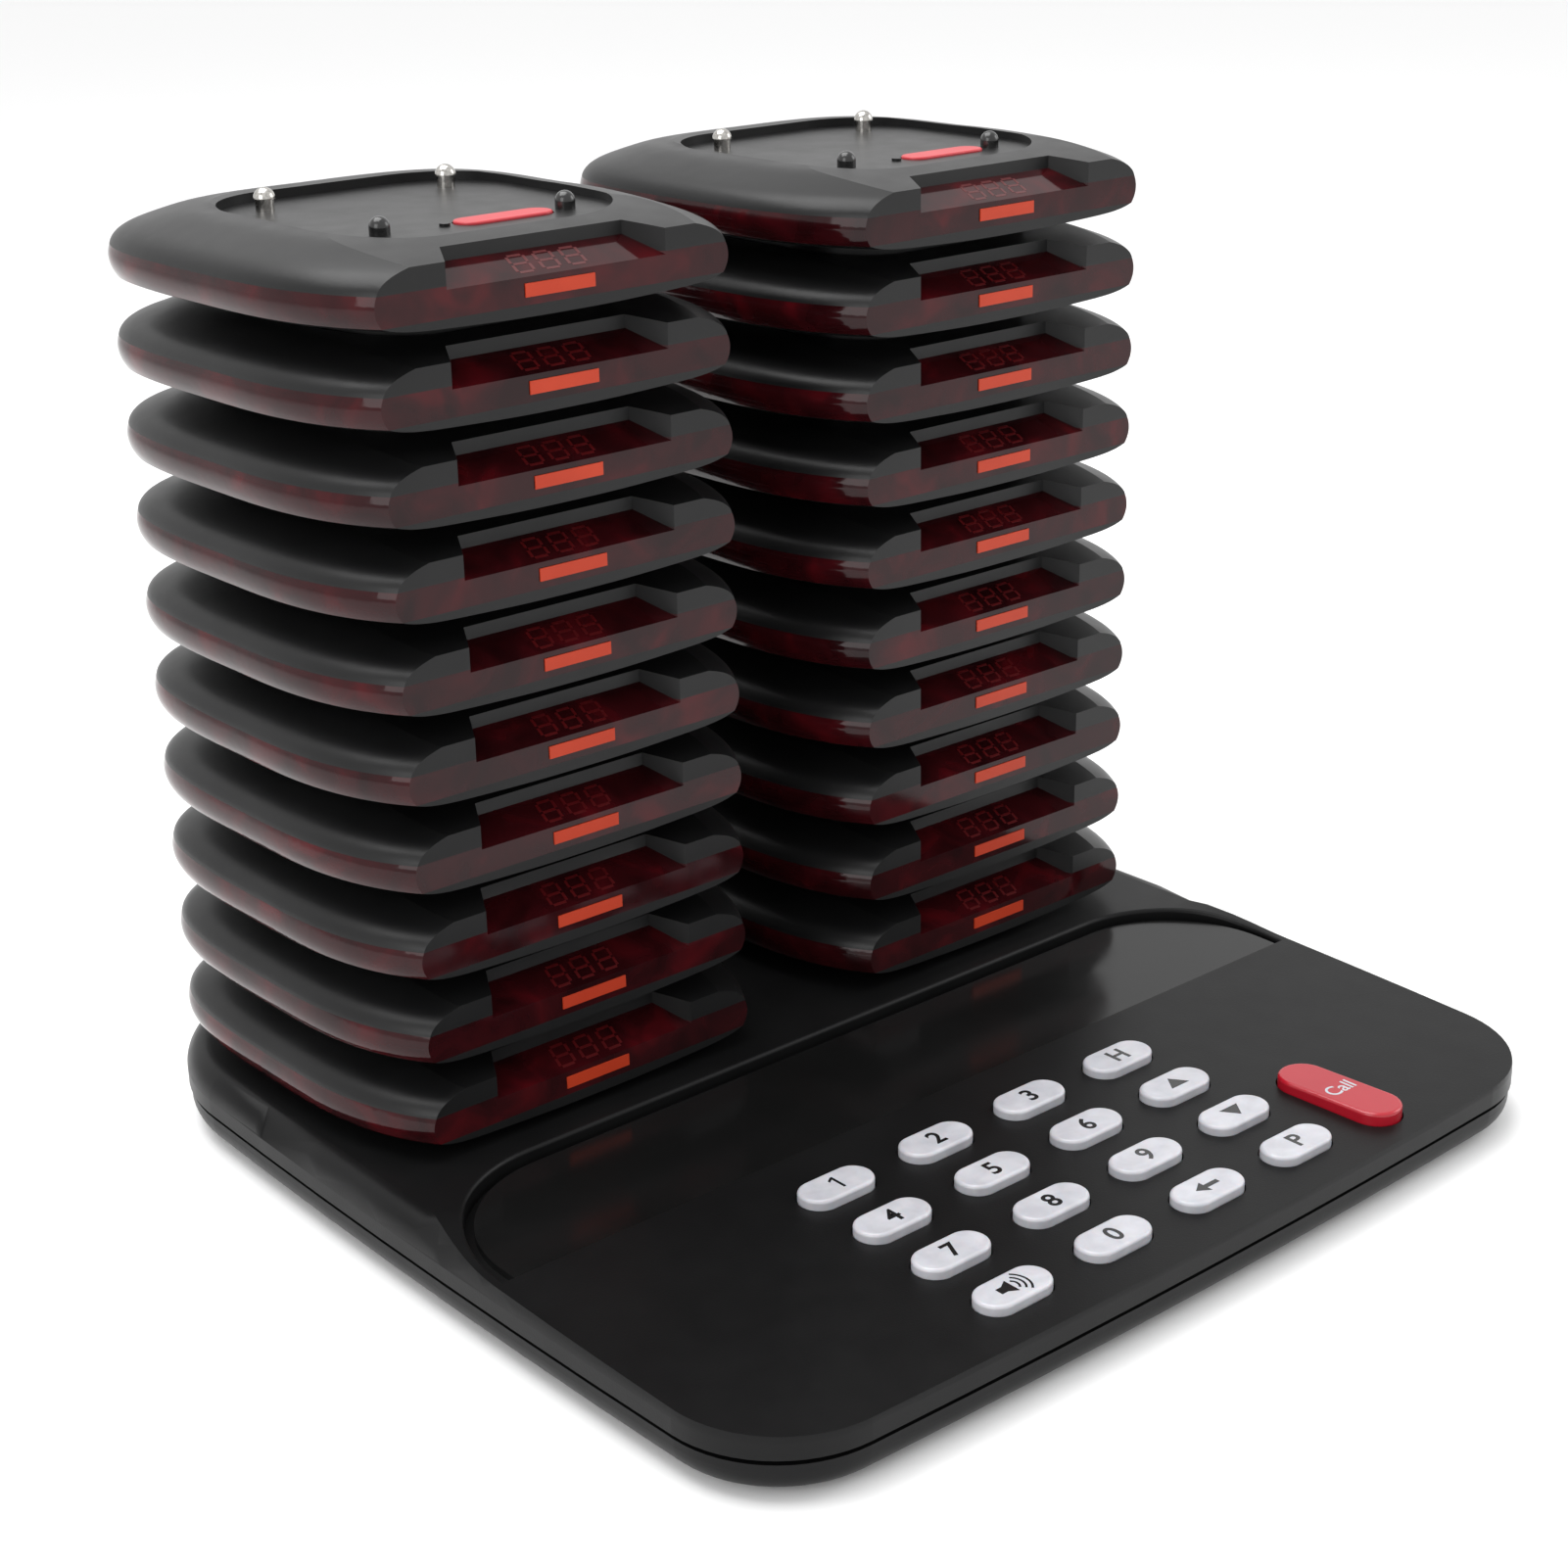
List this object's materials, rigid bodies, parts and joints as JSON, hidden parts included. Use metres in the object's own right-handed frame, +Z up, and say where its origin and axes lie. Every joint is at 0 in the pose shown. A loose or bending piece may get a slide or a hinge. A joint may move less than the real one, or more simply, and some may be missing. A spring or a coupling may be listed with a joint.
{
  "type": "restaurant paging set",
  "caption": "Keypad transmitter base with two charging stacks of black coaster pagers, each with a red light ring, slanted display window, pins and a button.",
  "frame": {"origin": "centre of the footprint, on the surface that the base stands on", "axes": "+X along the long side of the base to the right, +Y from the keypad to the stacks, +Z up"},
  "size_m": [0.216, 0.213, 0.1894],
  "materials": {
    "base_plastic": "fine moulded satin texture",
    "pager_plastic": "satin moulded",
    "window_black": "smooth dark acrylic",
    "key_white": "milky silicone",
    "call_red": "glossy",
    "button_red": "satin",
    "red_lens": "polished translucent red",
    "label_orange": "printed label",
    "chrome_pins": "polished",
    "black_gloss": "moulded",
    "black_rubber": "matte",
    "dome_rubber": "matte silicone",
    "circuit_board": "solder mask",
    "circuit_parts": "moulded",
    "battery_wrap": "shrink wrap",
    "screw_steel": "plain"
  },
  "bodies": {
    "base": {"base_bottom_shell": "base_plastic", "base_top_shell": "base_plastic", "display_window": "window_black", "display_module": "circuit_parts", "base_main_board": "circuit_board", "key_dome_sheet": "dome_rubber", "base_charge_pins": "chrome_pins", "power_inlet": "black_gloss", "base_buzzer": "black_gloss", "rubber_feet": "black_rubber", "case_screws": "screw_steel"},
    "key_1_body": {"key_1": "key_white"},
    "key_2_body": {"key_2": "key_white"},
    "key_3_body": {"key_3": "key_white"},
    "key_H_body": {"key_H": "key_white"},
    "key_4_body": {"key_4": "key_white"},
    "key_5_body": {"key_5": "key_white"},
    "key_6_body": {"key_6": "key_white"},
    "key_up_body": {"key_up": "key_white"},
    "key_7_body": {"key_7": "key_white"},
    "key_8_body": {"key_8": "key_white"},
    "key_9_body": {"key_9": "key_white"},
    "key_down_body": {"key_down": "key_white"},
    "key_sound_body": {"key_sound": "key_white"},
    "key_0_body": {"key_0": "key_white"},
    "key_back_body": {"key_back": "key_white"},
    "key_P_body": {"key_P": "key_white"},
    "key_call_body": {"key_call": "call_red"},
    "pager_left_01_body": {"pager_left_01": "pager_plastic"},
    "pager_left_02_body": {"pager_left_02": "pager_plastic"},
    "pager_left_03_body": {"pager_left_03": "pager_plastic"},
    "pager_left_04_body": {"pager_left_04": "pager_plastic"},
    "pager_left_05_body": {"pager_left_05": "pager_plastic"},
    "pager_left_06_body": {"pager_left_06": "pager_plastic"},
    "pager_left_07_body": {"pager_left_07": "pager_plastic"},
    "pager_left_08_body": {"pager_left_08": "pager_plastic"},
    "pager_left_09_body": {"pager_left_09": "pager_plastic"},
    "pager_left_10_body": {"pager_left_10_bottom_shell": "pager_plastic", "pager_left_10_battery": "battery_wrap", "pager_left_10_vibration_motor": "screw_steel", "pager_left_10_circuit_board": "circuit_board", "pager_left_10_display": "circuit_parts", "pager_left_10_charge_pins": "chrome_pins", "pager_left_10_light_ring": "red_lens", "pager_left_10_front_lens": "red_lens", "pager_left_10_number_label": "label_orange", "pager_left_10_top_shell": "pager_plastic", "pager_left_10_locating_pegs": "black_gloss"},
    "pager_left_10_button_body": {"pager_left_10_button": "button_red"},
    "pager_right_01_body": {"pager_right_01": "pager_plastic"},
    "pager_right_02_body": {"pager_right_02": "pager_plastic"},
    "pager_right_03_body": {"pager_right_03": "pager_plastic"},
    "pager_right_04_body": {"pager_right_04": "pager_plastic"},
    "pager_right_05_body": {"pager_right_05": "pager_plastic"},
    "pager_right_06_body": {"pager_right_06": "pager_plastic"},
    "pager_right_07_body": {"pager_right_07": "pager_plastic"},
    "pager_right_08_body": {"pager_right_08": "pager_plastic"},
    "pager_right_09_body": {"pager_right_09": "pager_plastic"},
    "pager_right_10_body": {"pager_right_10": "pager_plastic"},
    "pager_right_10_button_body": {"pager_right_10_button": "button_red"}
  },
  "joints": [
    {"name": "key_1_press", "type": "slide", "parent": "base", "child": "key_1_body", "axis": [0, 0, -1], "range_m": [0, 0.0012], "stiffness_N_per_m": 500, "springref_m": -0.001},
    {"name": "key_2_press", "type": "slide", "parent": "base", "child": "key_2_body", "axis": [0, 0, -1], "range_m": [0, 0.0012], "stiffness_N_per_m": 500, "springref_m": -0.001},
    {"name": "key_3_press", "type": "slide", "parent": "base", "child": "key_3_body", "axis": [0, 0, -1], "range_m": [0, 0.0012], "stiffness_N_per_m": 500, "springref_m": -0.001},
    {"name": "key_H_press", "type": "slide", "parent": "base", "child": "key_H_body", "axis": [0, 0, -1], "range_m": [0, 0.0012], "stiffness_N_per_m": 500, "springref_m": -0.001},
    {"name": "key_4_press", "type": "slide", "parent": "base", "child": "key_4_body", "axis": [0, 0, -1], "range_m": [0, 0.0012], "stiffness_N_per_m": 500, "springref_m": -0.001},
    {"name": "key_5_press", "type": "slide", "parent": "base", "child": "key_5_body", "axis": [0, 0, -1], "range_m": [0, 0.0012], "stiffness_N_per_m": 500, "springref_m": -0.001},
    {"name": "key_6_press", "type": "slide", "parent": "base", "child": "key_6_body", "axis": [0, 0, -1], "range_m": [0, 0.0012], "stiffness_N_per_m": 500, "springref_m": -0.001},
    {"name": "key_up_press", "type": "slide", "parent": "base", "child": "key_up_body", "axis": [0, 0, -1], "range_m": [0, 0.0012], "stiffness_N_per_m": 500, "springref_m": -0.001},
    {"name": "key_7_press", "type": "slide", "parent": "base", "child": "key_7_body", "axis": [0, 0, -1], "range_m": [0, 0.0012], "stiffness_N_per_m": 500, "springref_m": -0.001},
    {"name": "key_8_press", "type": "slide", "parent": "base", "child": "key_8_body", "axis": [0, 0, -1], "range_m": [0, 0.0012], "stiffness_N_per_m": 500, "springref_m": -0.001},
    {"name": "key_9_press", "type": "slide", "parent": "base", "child": "key_9_body", "axis": [0, 0, -1], "range_m": [0, 0.0012], "stiffness_N_per_m": 500, "springref_m": -0.001},
    {"name": "key_down_press", "type": "slide", "parent": "base", "child": "key_down_body", "axis": [0, 0, -1], "range_m": [0, 0.0012], "stiffness_N_per_m": 500, "springref_m": -0.001},
    {"name": "key_sound_press", "type": "slide", "parent": "base", "child": "key_sound_body", "axis": [0, 0, -1], "range_m": [0, 0.0012], "stiffness_N_per_m": 500, "springref_m": -0.001},
    {"name": "key_0_press", "type": "slide", "parent": "base", "child": "key_0_body", "axis": [0, 0, -1], "range_m": [0, 0.0012], "stiffness_N_per_m": 500, "springref_m": -0.001},
    {"name": "key_back_press", "type": "slide", "parent": "base", "child": "key_back_body", "axis": [0, 0, -1], "range_m": [0, 0.0012], "stiffness_N_per_m": 500, "springref_m": -0.001},
    {"name": "key_P_press", "type": "slide", "parent": "base", "child": "key_P_body", "axis": [0, 0, -1], "range_m": [0, 0.0012], "stiffness_N_per_m": 500, "springref_m": -0.001},
    {"name": "key_call_press", "type": "slide", "parent": "base", "child": "key_call_body", "axis": [0, 0, -1], "range_m": [0, 0.0012], "stiffness_N_per_m": 500, "springref_m": -0.001},
    {"name": "pager_left_01_lift", "type": "slide", "parent": "base", "child": "pager_left_01_body", "axis": [0, 0, 1], "range_m": [0, 0.02]},
    {"name": "pager_left_02_lift", "type": "slide", "parent": "pager_left_01_body", "child": "pager_left_02_body", "axis": [0, 0, 1], "range_m": [0, 0.02]},
    {"name": "pager_left_03_lift", "type": "slide", "parent": "pager_left_02_body", "child": "pager_left_03_body", "axis": [0, 0, 1], "range_m": [0, 0.02]},
    {"name": "pager_left_04_lift", "type": "slide", "parent": "pager_left_03_body", "child": "pager_left_04_body", "axis": [0, 0, 1], "range_m": [0, 0.02]},
    {"name": "pager_left_05_lift", "type": "slide", "parent": "pager_left_04_body", "child": "pager_left_05_body", "axis": [0, 0, 1], "range_m": [0, 0.02]},
    {"name": "pager_left_06_lift", "type": "slide", "parent": "pager_left_05_body", "child": "pager_left_06_body", "axis": [0, 0, 1], "range_m": [0, 0.02]},
    {"name": "pager_left_07_lift", "type": "slide", "parent": "pager_left_06_body", "child": "pager_left_07_body", "axis": [0, 0, 1], "range_m": [0, 0.02]},
    {"name": "pager_left_08_lift", "type": "slide", "parent": "pager_left_07_body", "child": "pager_left_08_body", "axis": [0, 0, 1], "range_m": [0, 0.02]},
    {"name": "pager_left_09_lift", "type": "slide", "parent": "pager_left_08_body", "child": "pager_left_09_body", "axis": [0, 0, 1], "range_m": [0, 0.02]},
    {"name": "pager_left_10_lift", "type": "slide", "parent": "pager_left_09_body", "child": "pager_left_10_body", "axis": [0, 0, 1], "range_m": [0, 0.02]},
    {"name": "pager_left_10_button_press", "type": "slide", "parent": "pager_left_10_body", "child": "pager_left_10_button_body", "axis": [0, 0, -1], "range_m": [0, 0.0005], "stiffness_N_per_m": 1500, "springref_m": -0.0004},
    {"name": "pager_right_01_lift", "type": "slide", "parent": "base", "child": "pager_right_01_body", "axis": [0, 0, 1], "range_m": [0, 0.02]},
    {"name": "pager_right_02_lift", "type": "slide", "parent": "pager_right_01_body", "child": "pager_right_02_body", "axis": [0, 0, 1], "range_m": [0, 0.02]},
    {"name": "pager_right_03_lift", "type": "slide", "parent": "pager_right_02_body", "child": "pager_right_03_body", "axis": [0, 0, 1], "range_m": [0, 0.02]},
    {"name": "pager_right_04_lift", "type": "slide", "parent": "pager_right_03_body", "child": "pager_right_04_body", "axis": [0, 0, 1], "range_m": [0, 0.02]},
    {"name": "pager_right_05_lift", "type": "slide", "parent": "pager_right_04_body", "child": "pager_right_05_body", "axis": [0, 0, 1], "range_m": [0, 0.02]},
    {"name": "pager_right_06_lift", "type": "slide", "parent": "pager_right_05_body", "child": "pager_right_06_body", "axis": [0, 0, 1], "range_m": [0, 0.02]},
    {"name": "pager_right_07_lift", "type": "slide", "parent": "pager_right_06_body", "child": "pager_right_07_body", "axis": [0, 0, 1], "range_m": [0, 0.02]},
    {"name": "pager_right_08_lift", "type": "slide", "parent": "pager_right_07_body", "child": "pager_right_08_body", "axis": [0, 0, 1], "range_m": [0, 0.02]},
    {"name": "pager_right_09_lift", "type": "slide", "parent": "pager_right_08_body", "child": "pager_right_09_body", "axis": [0, 0, 1], "range_m": [0, 0.02]},
    {"name": "pager_right_10_lift", "type": "slide", "parent": "pager_right_09_body", "child": "pager_right_10_body", "axis": [0, 0, 1], "range_m": [0, 0.02]},
    {"name": "pager_right_10_button_press", "type": "slide", "parent": "pager_right_10_body", "child": "pager_right_10_button_body", "axis": [0, 0, -1], "range_m": [0, 0.0005], "stiffness_N_per_m": 1500, "springref_m": -0.0004}
  ]
}
